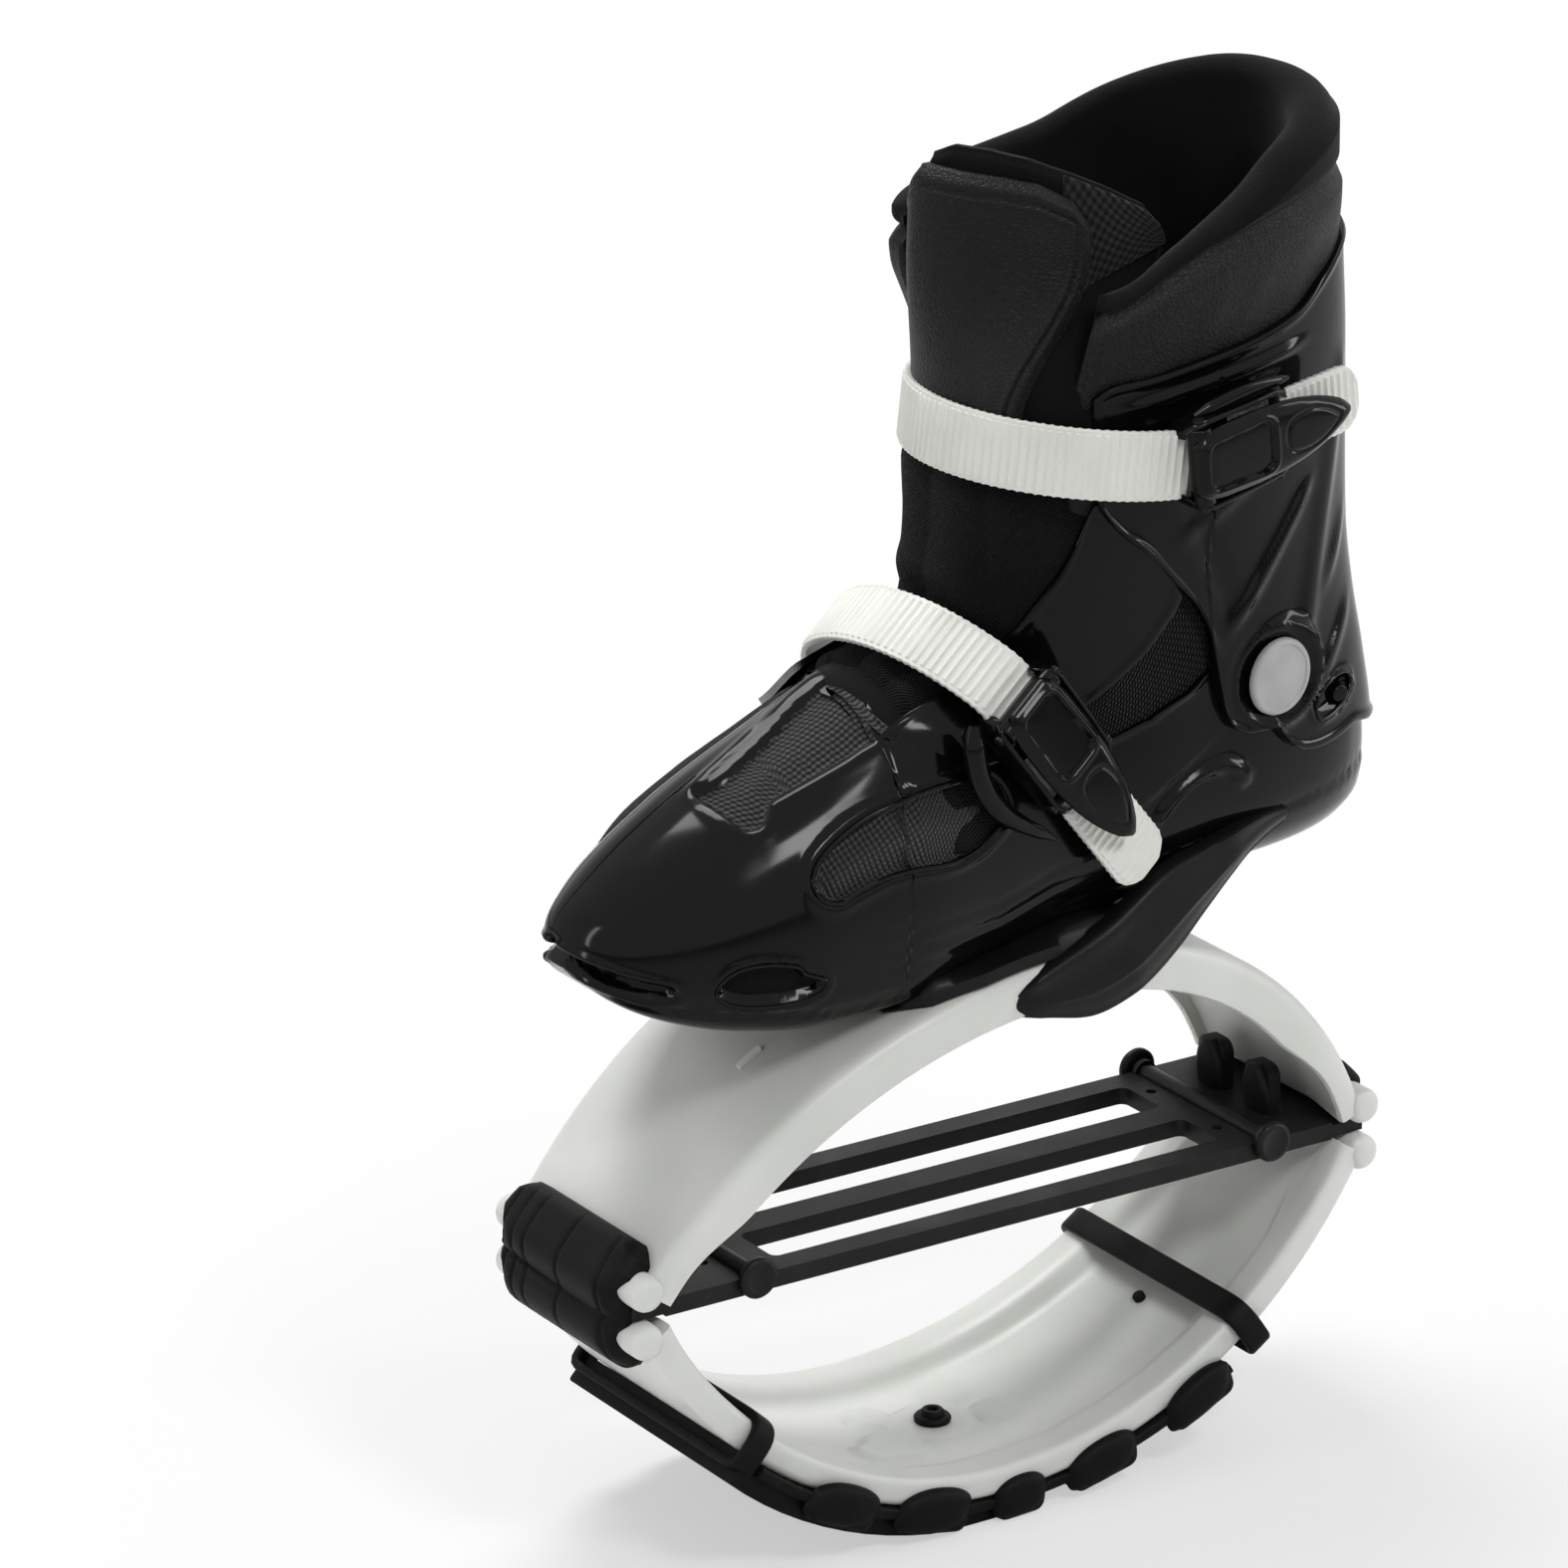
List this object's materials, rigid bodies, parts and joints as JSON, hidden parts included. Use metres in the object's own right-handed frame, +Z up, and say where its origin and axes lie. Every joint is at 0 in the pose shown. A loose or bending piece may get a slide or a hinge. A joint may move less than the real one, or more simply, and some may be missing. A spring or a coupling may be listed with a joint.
{
  "type": "jump boot",
  "caption": "Hard shell boot with a soft liner and two strap buckles, carried on a pair of bowed springs held together by a flat tension plate.",
  "frame": {"origin": "on the ground under the middle of the spring unit, on the flat face of the middle outsole lug", "axes": "+X towards the toe, +Y to the outer side of this left boot, where its buckles are, +Z up"},
  "size_m": [0.3411, 0.1436, 0.5007],
  "materials": {
    "white_nylon": "satin, slightly milky",
    "black_nylon": "satin",
    "black_rubber": "matte",
    "black_elastic": "matte woven elastic",
    "shell_gloss_black": "polished",
    "buckle_gloss_black": "polished",
    "strap_white": "satin, ribbed",
    "rivet_grey": "satin",
    "steel": "plain",
    "rod_black": "satin black",
    "liner_cloth": "soft brushed cloth",
    "gusset_knit": "ribbed knit",
    "insole_foam": "cloth over foam"
  },
  "bodies": {
    "sole_unit": {"outsole": "black_rubber", "sole_band_front": "black_elastic", "sole_band_rear": "black_elastic", "lower_arc": "white_nylon", "sole_bolt": "steel"},
    "spring_frame": {"tension_plate": "black_nylon", "front_cross_rod": "rod_black", "rear_cross_rod": "rod_black", "toe_bumper": "black_rubber", "heel_bumper": "black_rubber", "upper_arc": "white_nylon"},
    "boot": {"lower_shell": "shell_gloss_black", "sole_cradle": "black_nylon", "cradle_bolts": "steel", "ankle_rivet_outer": "rivet_grey", "ankle_rivet_inner": "rivet_grey", "heel_pegs": "black_nylon", "liner_foot": "liner_cloth", "insole": "insole_foam", "ankle_gusset": "gusset_knit", "instep_strap": "strap_white", "instep_buckle_base": "buckle_gloss_black", "instep_lever_pin": "steel", "instep_pawl_pin": "steel", "instep_rivets": "steel"},
    "cuff": {"cuff": "shell_gloss_black", "liner_collar": "liner_cloth", "liner_tongue": "liner_cloth", "cuff_strap": "strap_white", "cuff_buckle_base": "buckle_gloss_black", "cuff_lever_pin": "steel", "cuff_pawl_pin": "steel", "cuff_rivets": "steel"},
    "instep_lever": {"instep_buckle_lever": "buckle_gloss_black"},
    "instep_pawl": {"instep_buckle_pawl": "buckle_gloss_black"},
    "cuff_lever": {"cuff_buckle_lever": "buckle_gloss_black"},
    "cuff_pawl": {"cuff_buckle_pawl": "buckle_gloss_black"}
  },
  "joints": [
    {"name": "lower_bounce", "type": "slide", "parent": "sole_unit", "child": "spring_frame", "axis": [0, 0, 1], "range_m": [-0.0175, 0], "stiffness_N_per_m": 20000, "springref_m": 0.002, "deforming": ["lower_arc"]},
    {"name": "upper_bounce", "type": "slide", "parent": "spring_frame", "child": "boot", "axis": [0, 0, 1], "range_m": [-0.0175, 0], "stiffness_N_per_m": 20000, "springref_m": 0.002, "deforming": ["upper_arc"]},
    {"name": "cuff_flex", "type": "hinge", "parent": "boot", "child": "cuff", "pos_m": [-0.1065, 0, 0.2921], "axis": [0, 1, 0], "range_deg": [0, 6], "stiffness_Nm_per_rad": 8, "springref_deg": -4.58, "deforming": ["ankle_gusset"]},
    {"name": "instep_lever_swing", "type": "hinge", "parent": "boot", "child": "instep_lever", "pos_m": [0.0059, 0.05325, 0.30504], "axis": [0.7927, 0.1348, -0.5945], "range_deg": [0, 70]},
    {"name": "instep_pawl_lift", "type": "hinge", "parent": "boot", "child": "instep_pawl", "pos_m": [-0.01583, 0.0544, 0.27632], "axis": [-0.7927, -0.1348, 0.5945], "range_deg": [0, 6], "stiffness_Nm_per_rad": 0.02, "springref_deg": -17.19},
    {"name": "cuff_lever_swing", "type": "hinge", "parent": "cuff", "child": "cuff_lever", "pos_m": [-0.05378, 0.06882, 0.38513], "axis": [-0.1212, -0.0127, -0.9925], "range_deg": [0, 70]},
    {"name": "cuff_pawl_lift", "type": "hinge", "parent": "cuff", "child": "cuff_pawl", "pos_m": [-0.08916, 0.06359, 0.38951], "axis": [0.1212, 0.0127, 0.9925], "range_deg": [0, 6], "stiffness_Nm_per_rad": 0.02, "springref_deg": -17.19}
  ],
  "couplings": [
    {"joint": "upper_bounce", "follows": "lower_bounce", "ratio": 1}
  ]
}
